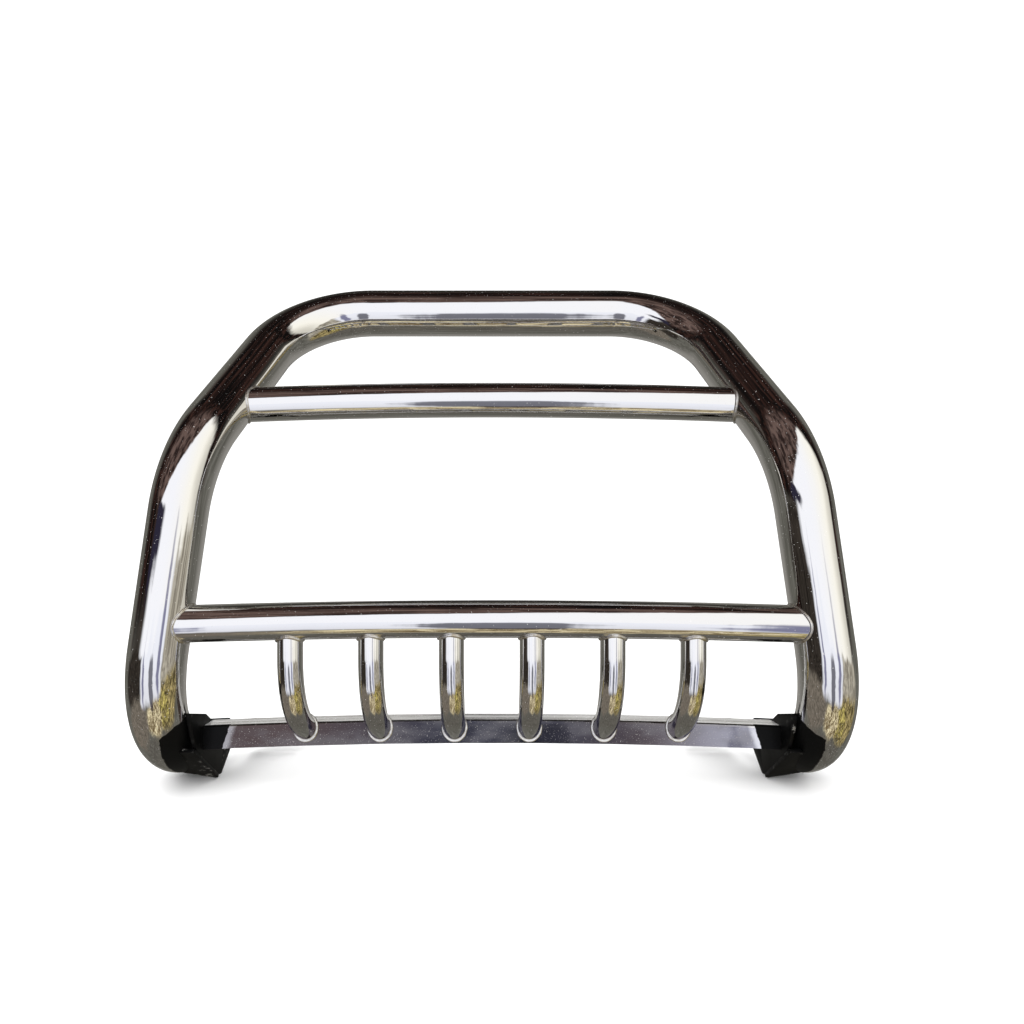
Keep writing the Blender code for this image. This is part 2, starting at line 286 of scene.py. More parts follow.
def new_mesh_object(name, verts, faces):
    mesh = bpy.data.meshes.new(name)
    mesh.from_pydata(np.asarray(verts, float).tolist(), [], faces)
    return placed(name, cleaned(mesh))


def dress(obj, material, replaces=(), sharp=None):
    """Shading, material and body of one piece."""
    obj.data.materials.clear()
    obj.data.materials.append(material)
    obj.data.shade_smooth()
    if sharp is not None:
        obj.data.set_sharp_from_angle(angle=math.radians(sharp))
    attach(obj, "root")
    if replaces:
        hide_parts(*replaces)
    return obj


def grid_faces(rows, columns, first=0, closed=True):
    """Quads over a grid of points, with the columns joined round if closed."""
    faces = []
    for i in range(rows - 1):
        for j in range(columns if closed else columns - 1):
            k = (j + 1) % columns
            a, b = first + i * columns, first + (i + 1) * columns
            faces.append((a + j, a + k, b + k, b + j))
    return faces


def walled_tube(name, route, radius, sides, ends, fractions, wall=WALL):
    """A tube with its wall. ends gives, for a radius, where along the route each line starts and stops."""
    angles = round_angles(sides)
    layers = []
    for r in (radius, radius - wall):
        start, stop = ends(r, angles)
        s = start[None, :] + (stop - start)[None, :] * fractions[:, None]
        layers.append(route.surface(s, angles[None, :], r))
    rows = len(fractions)
    verts = np.concatenate([layer.reshape(-1, 3) for layer in layers])
    inner = rows * sides
    faces = grid_faces(rows, sides) + grid_faces(rows, sides, inner)
    for row in (0, rows - 1):
        for j in range(sides):
            k = (j + 1) % sides
            base = row * sides
            faces.append((base + j, base + k, inner + base + k, inner + base + j))
    obj = new_mesh_object(name, verts, faces)
    return obj, layers[0]


def resampled(points, spacing, closed):
    """Points an even distance apart along a polyline, by its first three columns."""
    points = np.array(points, float)
    if closed:
        points = np.vstack([points, points[:1]])
    lengths = np.linalg.norm(np.diff(points[:, :3], axis=0), axis=1)
    at = np.concatenate([[0.0], np.cumsum(lengths)])
    count = max(6, round(at[-1] / spacing))
    places = np.linspace(0, at[-1], count + 1)
    if closed:
        places = places[:-1]
    return places, np.stack([np.interp(places, at, points[:, k]) for k in range(points.shape[1])], -1)


SEAMS = []


def weld_bead(name, seam, ways, radius, material, seed, closed=True):
    """A rippled bead along a seam. ways are the directions out of the corner that the bead fills."""
    sides, lift = 12, 0.25
    both = np.hstack([np.array(seam, float), np.array(ways, float)])
    places, both = resampled(both, 0.0006, closed)
    centre, way = both[:, :3], both[:, 3:6]
    SEAMS.extend(centre[::3].tolist())
    count = len(centre)
    if closed:
        tangent = np.roll(centre, -1, 0) - np.roll(centre, 1, 0)
    else:
        tangent = np.gradient(centre, axis=0)
    tangent /= np.linalg.norm(tangent, axis=1)[:, None]
    way = way - tangent * (way * tangent).sum(1)[:, None]
    way /= np.linalg.norm(way, axis=1)[:, None]
    side = np.cross(tangent, way)
    total = places[-1] + 0.0006
    waves = max(3, round(total / 0.0023))
    angles = np.linspace(0, 2 * math.pi, sides, endpoint=False)
    rings = []
    for i in range(count):
        phase = places[i] / total
        ripple = abs(math.sin(math.pi * waves * phase))
        round_by = 2 * math.pi * phase
        wander = noise.noise(Vector((math.cos(round_by) * 3, math.sin(round_by) * 3, seed)))
        size = radius * (0.90 + 0.13 * ripple + 0.22 * wander)
        if not closed:
            size *= min(1.0, 0.25 + 9 * min(phase, 1 - phase))
        shift = side[i] * radius * 0.25 * noise.noise(Vector((phase * 17, seed, 4.2)))
        middle = centre[i] + shift + way[i] * radius * lift
        rings.append([middle + size * (math.cos(a) * way[i] + 1.08 * math.sin(a) * side[i]) for a in angles])
    verts = np.array(rings).reshape(-1, 3)
    faces = grid_faces(count, sides)
    if closed:
        last = (count - 1) * sides
        faces += [(last + j, last + (j + 1) % sides, (j + 1) % sides, j) for j in range(sides)]
    else:
        faces.append(tuple(range(sides))[::-1])
        faces.append(tuple(range((count - 1) * sides, count * sides)))
    return dress(new_mesh_object(name, verts, faces), material)


def circle(centre, radius, sides, start=0.0):
    angles = [start + 2 * math.pi * i / sides for i in range(sides)]
    return [(centre[0] + radius * math.cos(a), centre[1] + radius * math.sin(a)) for a in angles]


def slot_outline(centre, length, width, steps=14):
    """A slot's outline, with its length along the first axis."""
    reach = (length - width) / 2
    outline = []
    for side, first in ((1, -math.pi / 2), (-1, math.pi / 2)):
        for i in range(steps + 1):
            angle = first + math.pi * i / steps
            x = centre[0] + side * reach + width / 2 * math.cos(angle)
            outline.append((x, centre[1] + width / 2 * math.sin(angle)))
    return outline


def eased(outline, radius, steps=5):
    """The outline with each corner rounded off."""
    points = [Vector(p) for p in outline]
    made = []
    for before, corner, after in zip(points[-1:] + points[:-1], points, points[1:] + points[:1]):
        arrive, leave = (corner - before), (after - corner)
        turn = arrive.angle(leave)
        if turn < math.radians(4):
            made.append(tuple(corner))
            continue
        cut_back = min(radius * math.tan(turn / 2), arrive.length * 0.45, leave.length * 0.45)
        start = corner - arrive.normalized() * cut_back
        stop = corner + leave.normalized() * cut_back
        for i in range(steps + 1):
            t = i / steps
            made.append(tuple(start.lerp(corner, t).lerp(corner.lerp(stop, t), t)))
    return made


def evaluated(obj):
    """A new mesh of what the object's curve or modifiers make."""
    bpy.context.view_layer.update()
    graph = bpy.context.evaluated_depsgraph_get()
    return bpy.data.meshes.new_from_object(obj.evaluated_get(graph))


def applied(obj):
    """The object with its modifiers made part of its mesh."""
    mesh = evaluated(obj)
    obj.modifiers.clear()
    obj.data = mesh
    return obj


def upright_plane(x):
    """Local X along world Y, local Y up, at the given world X."""
    return Matrix(((0, 0, 1, x), (1, 0, 0, 0), (0, 1, 0, 0), (0, 0, 0, 1)))


def facing_back(y):
    """Local X along world X, local Y up, at the given world Y."""
    return Matrix(((1, 0, 0, 0), (0, 0, -1, y), (0, 1, 0, 0), (0, 0, 0, 1)))


def plate(name, outline, holes, thickness, placement, cutters=(), rim=0.0007):
    """A flat plate with holes, cut by the cutters, its edges broken."""
    curve = bpy.data.curves.new(name, "CURVE")
    curve.dimensions = "2D"
    curve.fill_mode = "BOTH"
    curve.extrude = thickness / 2
    for loop in [outline, *holes]:
        spline = curve.splines.new("POLY")
        spline.points.add(len(loop) - 1)
        spline.use_cyclic_u = True
        for place, (x, y) in zip(spline.points, loop):
            place.co = (x, y, 0, 1)
    source = placed(name, curve)
    mesh = evaluated(source)
    bpy.data.objects.remove(source)
    mesh.transform(placement)
    obj = placed(name, cleaned(mesh, 1e-6))
    for cutter in cutters:
        boolean = obj.modifiers.new("cope", "BOOLEAN")
        boolean.operation = "DIFFERENCE"
        boolean.solver = "EXACT"
        boolean.object = cutter
    bevel = obj.modifiers.new("rim", "BEVEL")
    bevel.width = rim
    bevel.segments = 2
    bevel.limit_method = "ANGLE"
    bevel.angle_limit = math.radians(50)
    return applied(obj)


def turned(name, profile, sides, placement, outline=None):
    """A turned piece: (radius, height) rings about local Z. outline limits each ring's radius at an angle."""
    angles = round_angles(sides)
    verts = []
    for r, h in profile:
        for a in angles:
            reach = min(r, outline(a)) if outline else r
            verts.append(placement @ Vector((reach * math.cos(a), reach * math.sin(a), h)))
    faces = grid_faces(len(profile), sides)
    if profile[0][0] > 1e-6 and profile[0] != profile[-1]:
        faces.append(tuple(range(sides))[::-1])
        faces.append(tuple(range((len(profile) - 1) * sides, len(profile) * sides)))
    obj = new_mesh_object(name, verts, faces)
    if profile[0] == profile[-1]:
        cleaned(obj.data, 1e-7)
    return obj


# Materials -----------------------------------------------------------------------------------------------

class Nodes:
    """Short calls for building one node tree."""

    def __init__(self, tree, place):
        self.tree = tree
        self.place = self.add("ShaderNodeTexCoord").outputs[place]

    def add(self, kind, **settings):
        node = self.tree.nodes.new(kind)
        for key, value in settings.items():
            setattr(node, key, value)
        return node

    def put(self, socket, value):
        if isinstance(value, bpy.types.NodeSocket):
            self.tree.links.new(value, socket)
        else:
            socket.default_value = value

    def math(self, operation, a, b=0.0, c=0.0, clamp=False):
        node = self.add("ShaderNodeMath", operation=operation, use_clamp=clamp)
        for socket, value in zip(node.inputs, (a, b, c)):
            self.put(socket, value)
        return node.outputs[0]

    def plus(self, a, b):
        return self.math("ADD", a, b)

    def minus(self, a, b, clamp=False):
        return self.math("SUBTRACT", a, b, clamp=clamp)

    def times(self, first, *others):
        for other in others:
            first = self.math("MULTIPLY", first, other)
        return first

    def sway(self, size, *noise):
        """Noise that swings to both sides of nothing."""
        return self.times(self.minus(self.noise(*noise), 0.5), size)

    def noise(self, scale, detail=2.0, rough=0.5, stretch=None, distortion=0.0):
        node = self.add("ShaderNodeTexNoise")
        for key, value in (("Scale", scale), ("Detail", detail), ("Roughness", rough), ("Distortion", distortion)):
            node.inputs[key].default_value = value
        where = self.place
        if stretch:
            mapping = self.add("ShaderNodeMapping")
            mapping.inputs["Scale"].default_value = stretch
            self.put(mapping.inputs["Vector"], self.place)
            where = mapping.outputs[0]
        self.put(node.inputs["Vector"], where)
        return node.outputs["Fac"]

    def ease(self, value, low, high, start=0.0, stop=1.0):
        node = self.add("ShaderNodeMapRange", interpolation_type="SMOOTHSTEP")
        for socket, number in zip(node.inputs, (value, low, high, start, stop)):
            self.put(socket, number)
        return node.outputs[0]

    def mix(self, share, a, b):
        node = self.add("ShaderNodeMix", data_type="RGBA")
        colour_inputs = [i for i in node.inputs if i.type == "RGBA"]
        self.put(node.inputs[0], share)
        for socket, value in zip(colour_inputs, (a, b)):
            self.put(socket, (*value, 1) if isinstance(value, tuple) else value)
        return [o for o in node.outputs if o.type == "RGBA"][0]

    def blend(self, share, a, b):
        """A number between a and b."""
        node = self.add("ShaderNodeMix", data_type="FLOAT")
        self.put(node.inputs[0], share)
        self.put(node.inputs[2], a)
        self.put(node.inputs[3], b)
        return node.outputs[0]

    def attribute(self, name):
        return self.add("ShaderNodeAttribute", attribute_name=name).outputs["Fac"]

    def bump(self, height, distance, strength=1.0, normal=None):
        node = self.add("ShaderNodeBump")
        node.inputs["Strength"].default_value = strength
        node.inputs["Distance"].default_value = distance
        self.put(node.inputs["Height"], height)
        if normal is not None:
            self.put(node.inputs["Normal"], normal)
        return node.outputs[0]


class Surface(Nodes):
    """The nodes of one material round its Principled shader."""

    def __init__(self, name):
        self.material = bpy.data.materials.new(name)
        self.material.use_nodes = True
        super().__init__(self.material.node_tree, "Object")
        self.shader = self.tree.nodes["Principled BSDF"]

    def finish(self, colour, metallic, roughness, normal):
        values = {"Base Color": colour, "Metallic": metallic, "Roughness": roughness, "Normal": normal}
        for key, value in values.items():
            self.put(self.shader.inputs[key], (*value, 1) if isinstance(value, tuple) else value)
        return self.material


CHROME = (0.80, 0.79, 0.775)
# Painted reflection: the dark colours of the strip's mirror face, in the middle and at the ends
PAINTED_REFLECTION_MIDDLE = (0.046, 0.046, 0.060)
PAINTED_REFLECTION_ENDS = (0.090, 0.066, 0.064)
PAINT_GLOSS = 0.11
SPRAY_X = 0.3947
SPRAY_Z = 0.0312
SPRAY_LEAN = 0.332
BLACK = (0.0014, 0.0014, 0.0016)


def chrome_layers(n, dust_share=0.0, wave=1.0):
    """Colour, metallic, roughness and normal of mirror polish: buffing waves, smears, dust and heat tint."""
    heat = n.attribute("heat")
    cloud = n.noise(11, 3, 0.55)
    smear = n.ease(n.noise(5.5, 4, 0.6, stretch=(1, 1, 0.5)), 0.52, 0.78)
    grain = n.noise(900, 2, 0.6)
    specks = n.ease(n.noise(520, 1, 0.5), 0.735 - 0.05 * dust_share, 0.775 - 0.05 * dust_share)
    tint = n.ease(n.plus(heat, n.sway(0.5, 160, 3)), 0.30, 0.95)
    colour = n.mix(tint, CHROME, (0.56, 0.44, 0.27))
    colour = n.mix(n.ease(heat, 0.80, 1.0, 0, 0.55), colour, (0.20, 0.19, 0.21))
    colour = n.mix(n.times(cloud, 0.10), colour, (0.66, 0.65, 0.63))
    colour = n.mix(n.times(specks, 0.5), colour, (0.62, 0.60, 0.57))
    metallic = n.minus(1.0, n.times(specks, 0.45))
    rough = n.plus(0.028, n.times(smear, 0.05))
    rough = n.plus(rough, n.times(n.ease(heat, 0.45, 1.0), 0.16))
    rough = n.plus(rough, n.times(specks, 0.30))
    rough = n.plus(rough, n.times(grain, 0.012))
    normal = n.bump(n.noise(17, 1, 0.4), 0.0011 * wave, 0.55)
    normal = n.bump(n.noise(60, 1, 0.4), 0.00012 * wave, 0.5, normal)
    scratch = n.noise(240, 2, 0.5, stretch=(1, 7, 7))
    normal = n.bump(scratch, 0.000006, 0.5, normal)
    return colour, metallic, rough, normal


def polished_steel(name):
    n = Surface(name)
    return n.finish(*chrome_layers(n))


def on_front(n, mask, y):
    """The mask kept to the front of the sheet and round its fold."""
    return n.times(mask, n.ease(y, STRIP_FACE_Y + 0.0065, STRIP_FACE_Y + 0.0045))


def strip_steel(name):
    """Polished sheet with a dusty face whose dark reflection is painted into its colour, lighter at the right end,
    under a flange with a painted highlight, sprayed black past the brackets.
    """
    n = Surface(name)
    colour, metallic, rough, normal = chrome_layers(n, 1.0, 1.6)
    paint_colour, paint_rough = paint_layers(n)
    split = n.add("ShaderNodeSeparateXYZ")
    n.put(split.inputs[0], n.place)
    x, y, z = split.outputs
    out = n.math("ABSOLUTE", x)
    face = n.ease(y, STRIP_FACE_Y + 0.0026, STRIP_FACE_Y + 0.0008)
    # Painted reflection: the mirror face's dark image is painted into its colour, warmer at the ends, lighter at
    # the right end, with lighter blotches
    painted_reflection = n.mix(n.ease(out, 0.05, 0.32), PAINTED_REFLECTION_MIDDLE, PAINTED_REFLECTION_ENDS)
    painted_reflection = n.mix(n.ease(x, 0.20, 0.36), painted_reflection, (0.33, 0.32, 0.35))
    reflection_blotches = n.ease(n.noise(16, 3, 0.55, stretch=(1, 1, 2.5)), 0.40, 0.66)
    painted_reflection = n.mix(n.times(reflection_blotches, 0.45), painted_reflection, (0.20, 0.19, 0.19))
    grit = n.times(n.ease(n.noise(640, 2, 0.6), 0.655, 0.70), face)
    colour = n.mix(face, colour, painted_reflection)
    colour = n.mix(n.times(grit, 0.7), colour, (0.52, 0.50, 0.47))
    metallic = n.minus(metallic, n.times(grit, 0.6), clamp=True)
    rough = n.plus(rough, n.times(grit, 0.35))

    # Brushed bright round the teeth's feet, and a painted highlight with streaks along the flange, standing for
    # the light it mirrors
    ground = n.plus(n.attribute("heat"), n.sway(0.22, 130, 3, 0.6))
    ground = n.times(n.ease(ground, 0.11, 0.30), face)
    streak = n.ease(n.noise(24, 3, 0.6, stretch=(0.25, 6, 1)), 0.36, 0.62)
    flange = n.ease(y, STRIP_FACE_Y + 0.0022, STRIP_FACE_Y + 0.0042)
    painted_flange_highlight = n.times(flange, n.plus(0.45, n.times(streak, 0.5)))
    pale = n.math("MAXIMUM", ground, painted_flange_highlight)
    colour = n.mix(pale, colour, (0.86, 0.855, 0.845))
    metallic = n.minus(metallic, n.times(pale, 0.62), clamp=True)
    rough = n.plus(rough, n.times(pale, 0.16))
    ragged = n.sway(0.0050, 150, 4, 0.65)
    line = n.minus(SPRAY_X, n.times(n.minus(z, SPRAY_Z), SPRAY_LEAN))
    past = n.plus(n.minus(out, line), ragged)
    # A pale band just inside the spray line on the face, stronger towards the right end
    pale_band = n.times(n.ease(past, -0.013, -0.004), face)
    colour = n.mix(n.times(pale_band, n.ease(x, -0.1, 0.1, 0.34, 0.85)), colour, (0.78, 0.77, 0.77))
    paint = on_front(n, n.ease(past, 0.0000, 0.0010), y)
    stain = on_front(n, n.ease(past, -0.0010, -0.0002), y)
    n.shader.inputs["Specular IOR Level"].default_value = PAINT_GLOSS
    return n.finish(
        n.mix(n.math("MAXIMUM", paint, stain), colour, paint_colour),
        n.times(metallic, n.minus(1.0, paint)),
        n.blend(paint, rough, paint_rough), normal)


def paint_layers(n):
    """Colour and roughness of satin black paint."""
    mottle = n.noise(28, 4, 0.6)
    dust = n.ease(n.noise(210, 3, 0.65), 0.60, 0.80)
    colour = n.mix(n.times(mottle, 0.5), BLACK, (0.0038, 0.0038, 0.0036))
    colour = n.mix(n.times(dust, 0.08), colour, (0.08, 0.077, 0.070))
    rough = n.plus(0.34, n.times(mottle, 0.22))
    rough = n.plus(rough, n.times(dust, 0.2))
    return colour, rough


def black_paint(name):
    n = Surface(name)
    colour, rough = paint_layers(n)
    n.shader.inputs["Specular IOR Level"].default_value = PAINT_GLOSS
    edge = n.add("ShaderNodeNewGeometry").outputs["Pointiness"]
    chips = n.times(n.ease(edge, 0.53, 0.60), n.ease(n.noise(130, 3, 0.6), 0.56, 0.66))
    colour = n.mix(n.times(chips, 0.85), colour, (0.36, 0.35, 0.33))
    metallic = n.times(chips, 0.8)
    normal = n.bump(n.noise(420, 2, 0.5), 0.00010, 0.5)
    normal = n.bump(n.noise(46, 3, 0.5), 0.00035, 0.35, normal)
    return n.finish(colour, metallic, rough, normal)


def hoop_steel(name):
    """Polished steel whose lower ends are sprayed black, with specks along the paint's edge. On the tube's inner
    side this black is also painted shade, standing for the dark recess between the tube and the side plate.
    """
    n = Surface(name)
    colour, metallic, rough, normal = chrome_layers(n)
    paint_colour, paint_rough = paint_layers(n)
    n.shader.inputs["Specular IOR Level"].default_value = PAINT_GLOSS
    away = n.attribute("bare")
    ragged = n.sway(0.0042, 150, 4, 0.65)
    ragged = n.plus(ragged, n.sway(0.006, 36, 2, 0.5))
    edge = n.plus(away, ragged)
    # Black by position: real spray on the lower ends, and painted shade for the recess by the side plate on the
    # tube's inner side
    paint = n.ease(edge, 0.0001, -0.0007)
    stain = n.ease(edge, 0.0012, 0.0003)
    near = n.ease(away, 0.030, 0.0)
    specks = n.times(n.ease(n.noise(430, 2, 0.5), 0.70, 0.73), near)
    paint = n.math("MAXIMUM", paint, specks)
    mist = n.times(n.ease(away, 0.012, 0.0), 0.10)
    rough = n.plus(rough, mist)
    normal_paint = n.bump(n.noise(420, 2, 0.5), 0.00010, 0.5)
    blend = n.add("ShaderNodeMix", data_type="VECTOR")
    n.put(blend.inputs[0], paint)
    n.put(blend.inputs[4], normal)
    n.put(blend.inputs[5], normal_paint)
    return n.finish(
        n.mix(n.math("MAXIMUM", paint, stain), colour, paint_colour),
        n.times(metallic, n.minus(1.0, paint)),
        n.blend(paint, rough, paint_rough), blend.outputs[1])


def weld_steel(name, bright, stain):
    """A bead brushed clean: bright, with straw and grey patches spread by noise."""
    n = Surface(name)
    patch = n.noise(120, 4, 0.6)
    colour = n.mix(n.times(n.ease(patch, 0.35, 0.7), stain), bright, (0.50, 0.44, 0.34))
    colour = n.mix(n.times(n.ease(n.noise(400, 3, 0.6), 0.62, 0.75), 0.6 * stain), colour, (0.12, 0.11, 0.11))
    rough = n.plus(0.20, n.times(n.noise(300, 3, 0.6), 0.28))
    normal = n.bump(n.noise(700, 3, 0.6), 0.00018, 0.6)
    return n.finish(colour, 1.0, rough, normal)


def zinc_plate(name):
    n = Surface(name)
    patch = n.noise(90, 4, 0.6)
    colour = n.mix(n.ease(patch, 0.35, 0.70), (0.60, 0.60, 0.57), (0.64, 0.56, 0.36))
    colour = n.mix(n.times(n.ease(n.noise(60, 4, 0.6), 0.58, 0.75), 0.5), colour, (0.33, 0.31, 0.28))
    rough = n.plus(0.26, n.times(n.noise(260, 3, 0.6), 0.24))
    normal = n.bump(n.noise(800, 2, 0.5), 0.00006, 0.5)
    return n.finish(colour, 1.0, rough, normal)


HOOP_STEEL = hoop_steel("polished_stainless_hoop")
TUBE_STEEL = polished_steel("polished_stainless_tube")
STRIP_STEEL = strip_steel("polished_stainless_strip")
PAINT = black_paint("satin_black_paint")
BEAD_STEEL = weld_steel("weld_bead_stainless", (0.78, 0.77, 0.75), 1.0)
BRIGHT_BEAD = weld_steel("weld_bead_brushed", (0.90, 0.89, 0.86), 0.25)
ZINC = zinc_plate("zinc_plate")


# The tubes -----------------------------------------------------------------------------------------------

HOOP = hoop_route()
UPPER = bar_route(UPPER_BAR)
LOWER = bar_route(LOWER_BAR)


def outward_from(route, places):
    close, _ = route.nearest(places)
    way = places - close
    return way / np.linalg.norm(way, axis=-1)[..., None]


def corner_ways(seam, first, second):
    """Directions out of the corner between two surfaces, from their outward directions."""
    way = first + second
    return way / np.linalg.norm(way, axis=-1)[..., None]


def build_hoop():
    def ends(radius, angles):
        return np.zeros(len(angles)), np.full(len(angles), HOOP.length)

    obj, _ = walled_tube("hoop_tube", HOOP, HOOP_RADIUS, HOOP_SIDES, ends, HOOP.at / HOOP.length)
    return dress(obj, HOOP_STEEL, ["main_hoop"], sharp=60)


def build_bar(name, node, route):
    def inside(places):
        return HOOP.nearest(places)[1] < HOOP_RADIUS + GAP

    def ends(radius, angles):
        middle = route.length / 2
        first = where_crossed(route, radius, angles, inside, middle, 0.0)
        last = where_crossed(route, radius, angles, inside, middle, route.length)
        return first, last

    obj, outer = walled_tube(name, route, BAR_RADIUS, BAR_SIDES, ends, np.linspace(0, 1, 73))
    dress(obj, TUBE_STEEL, [node], sharp=60)
    for row, side in ((0, "left"), (-1, "right")):
        seam = outer[row]
        ways = corner_ways(seam, outward_from(route, seam), outward_from(HOOP, seam))
        seed = row * 3.1 + outer[0][0][2]
        weld_bead(f"weld_{node}_{side}", seam, ways, BAR_BEAD, BEAD_STEEL, seed)
    return obj


def build_teeth():
    made = []
    plane = STRIP_FACE_Y - GAP

    def in_bar(places):
        return LOWER.nearest(places)[1] < BAR_RADIUS + GAP

    def behind(places):
        return places[..., 1] > plane

    for i in range(TEETH):
        route = tooth_route(TOOTH_PITCH * (i - (TEETH - 1) / 2))

        def ends(radius, angles):
            first = where_crossed(route, radius, angles, in_bar, 0.06, 0.0)
            last = where_crossed(route, radius, angles, behind, route.length * 0.6, route.length)
            return first, last

        name = f"tooth_{i + 1}"
        rows = np.linspace(0, 1, 91)
        obj, outer = walled_tube(name + "_tube", route, TOOTH_RADIUS, TOOTH_SIDES, ends, rows)
        made.append(dress(obj, TUBE_STEEL, [name], sharp=60))
        top, bottom = outer[0], outer[-1]
        ways = corner_ways(top, outward_from(route, top), outward_from(LOWER, top))
        weld_bead(f"weld_{name}_top", top, ways, TOOTH_TOP_BEAD, BEAD_STEEL, seed=i + 0.4)
        ways = corner_ways(bottom, outward_from(route, bottom), np.array([0.0, -1.0, 0.0]))
        weld_bead(
            f"weld_{name}_foot", bottom, ways, TOOTH_FOOT_BEAD, BRIGHT_BEAD, i + 7.7,
        )
    return made


# The strip -----------------------------------------------------------------------------------------------

def strip_profile():
    """(y, z) from the face's lower edge, round the fold and back along the flange, with outward ways."""
    line = [(STRIP_FACE_Y, z, -1.0, 0.0) for z in np.linspace(STRIP_BOTTOM_Z, STRIP_TOP_Z - STRIP_FOLD, 13)]
    centre = (STRIP_FACE_Y + STRIP_FOLD, STRIP_TOP_Z - STRIP_FOLD)
    for i in range(1, 10):
        angle = math.pi / 2 * i / 10
        way = (-math.cos(angle), math.sin(angle))
        line.append((centre[0] + STRIP_FOLD * way[0], centre[1] + STRIP_FOLD * way[1], *way))
    back = STRIP_FACE_Y + STRIP_FLANGE
    line += [(y, STRIP_TOP_Z, 0.0, 1.0) for y in np.linspace(centre[0], back, 7)]
    return line


def build_strip():
    half = PLATE_INNER_X - GAP
    profile = strip_profile()
    count = len(profile)
    verts, columns = [], 301
    for i in range(columns):
        x = half * (2 * i / (columns - 1) - 1)
        drop = STRIP_DROP * (x / half) ** 2
        ring = []
        for depth in (0.0, STRIP_SHEET):
            for y, z, wy, wz in profile:
                share = min(1.0, (z - STRIP_BOTTOM_Z) / 0.02)
                pull = 0.00030 * math.cos(2 * math.pi * (x / TOOTH_PITCH + 0.5)) * (1 - 0.5 * share)
                sway = 0.00035 * noise.noise(Vector((x * 14, z * 22, 1.7)))
                proud = (pull + sway) * (1 if abs(x) < half - 0.01 else 0)
                ring.append((x, y - wy * depth - proud * wy, z - drop - wz * depth + proud * 0.4 * wz))
        verts += ring[:count] + ring[count:][::-1]
    loop = 2 * count
    faces = grid_faces(columns, loop)
    for column, turn in ((0, 1), (columns - 1, -1)):
        for j in range(count - 1):
            quad = [column * loop + k for k in (j, j + 1, loop - 2 - j, loop - 1 - j)]
            faces.append(tuple(quad[::turn]))
    obj = new_mesh_object("strip_sheet", verts, faces)
    return dress(obj, STRIP_STEEL, ["skid_strip"], sharp=40)


# The brackets --------------------------------------------------------------------------------------------

def hoop_cutter(sign):
    """The lower end of the hoop on one side, solid, to cut the plates fitted round it."""
    half = [(LOWER_CORNER[0], HOOP_END_Y + 0.03, LOWER_CORNER[2]), LOWER_CORNER, SHOULDER]
    corners = [(sign * x, y, z) for x, y, z in half]
    route = Route(rounded_points(corners, BENDS[:1], math.radians(3)), (1, 0, 0))
    sides = 72
    angles = round_angles(sides)
    rings = route.surface(route.at[:, None], angles[None, :], HOOP_RADIUS + GAP)
    faces = grid_faces(len(rings), sides)
    faces.append(tuple(range(sides))[::-1])
    faces.append(tuple(range((len(rings) - 1) * sides, len(rings) * sides)))
    return new_mesh_object("cutter", rings.reshape(-1, 3), faces)


def gusset_placement():
    along = (FOLD_BOTTOM - FOLD_TOP).normalized()
    across = Vector((1, 0, 0))
    normal = across.cross(along)
    placement = Matrix((across, along, normal)).transposed().to_4x4()
    placement.translation = FOLD_TOP + normal * PLATE / 2
    return placement, normal


def painted(obj, *nodes):
    return dress(obj, PAINT, nodes, sharp=45)


def build_bracket(side, sign):
    cutter = hoop_cutter(sign)
    holes = [circle(point, BOLT_HOLE_RADIUS, 40) for point in BOLT_POINTS]
    outline = eased(PLATE_OUTLINE, 0.006)
    centre_x = sign * (PLATE_INNER_X + PLATE / 2)
    upright = plate(f"side_plate_{side}_sheet", outline, holes, PLATE, upright_plane(centre_x), [cutter])
    painted(upright, f"side_plate_{side}")

    placement, normal = gusset_placement()
    length = (FOLD_BOTTOM - FOLD_TOP).length
    inner, outer = PLATE_INNER_X, GUSSET_OUTER_X
    outline = [
        (inner, -GUSSET_TOP), (outer, -GUSSET_TOP), (outer, length - GUSSET_SLANT),
        (inner + 0.006, length), (inner, length - 0.003),
    ]
    outline = eased([(sign * x, y) for x, y in outline], 0.003)
    sheet = plate(f"gusset_{side}_sheet", outline, [], PLATE, placement, [cutter])
    painted(sheet, f"gusset_{side}")
    bpy.data.objects.remove(cutter)

    leg_outer = PLATE_INNER_X - GAP
    leg_place = upright_plane(sign * (leg_outer - ARM / 2))
    leg = plate(f"arm_leg_{side}", eased(ARM_OUTLINE, 0.006), holes, ARM, leg_place)
    painted(leg, f"chassis_arm_{side}")
    foot_outer = leg_outer - WELD_STEP
    corners = [
        (FOOT_INNER_X, -FOOT_HALF_HEIGHT), (foot_outer, -FOOT_HALF_HEIGHT),
        (foot_outer, FOOT_HALF_HEIGHT), (FOOT_INNER_X, FOOT_HALF_HEIGHT),
    ]
    corners = eased([(sign * x, z) for x, z in corners], 0.005)
    slots = [slot_outline((sign * x, 0), SLOT_LENGTH, SLOT_WIDTH) for x in FOOT_SLOT_X]
    foot = plate(f"arm_foot_{side}", corners, slots, FOOT, facing_back(-FOOT / 2))
    painted(foot)

    ring = circle((sign * LOWER_CORNER[0], LOWER_CORNER[2]), HOOP_RADIUS, 96)
    cap = plate(f"end_cap_{side}_disc", ring, [], CAP, facing_back(HOOP_END_Y + GAP + CAP / 2), rim=0.0009)
    painted(cap, f"end_cap_{side}")

    build_bracket_welds(side, sign, normal, ring)
    for number, point in enumerate(BOLT_POINTS, start=1):
        build_fastener(side, sign, number, point)


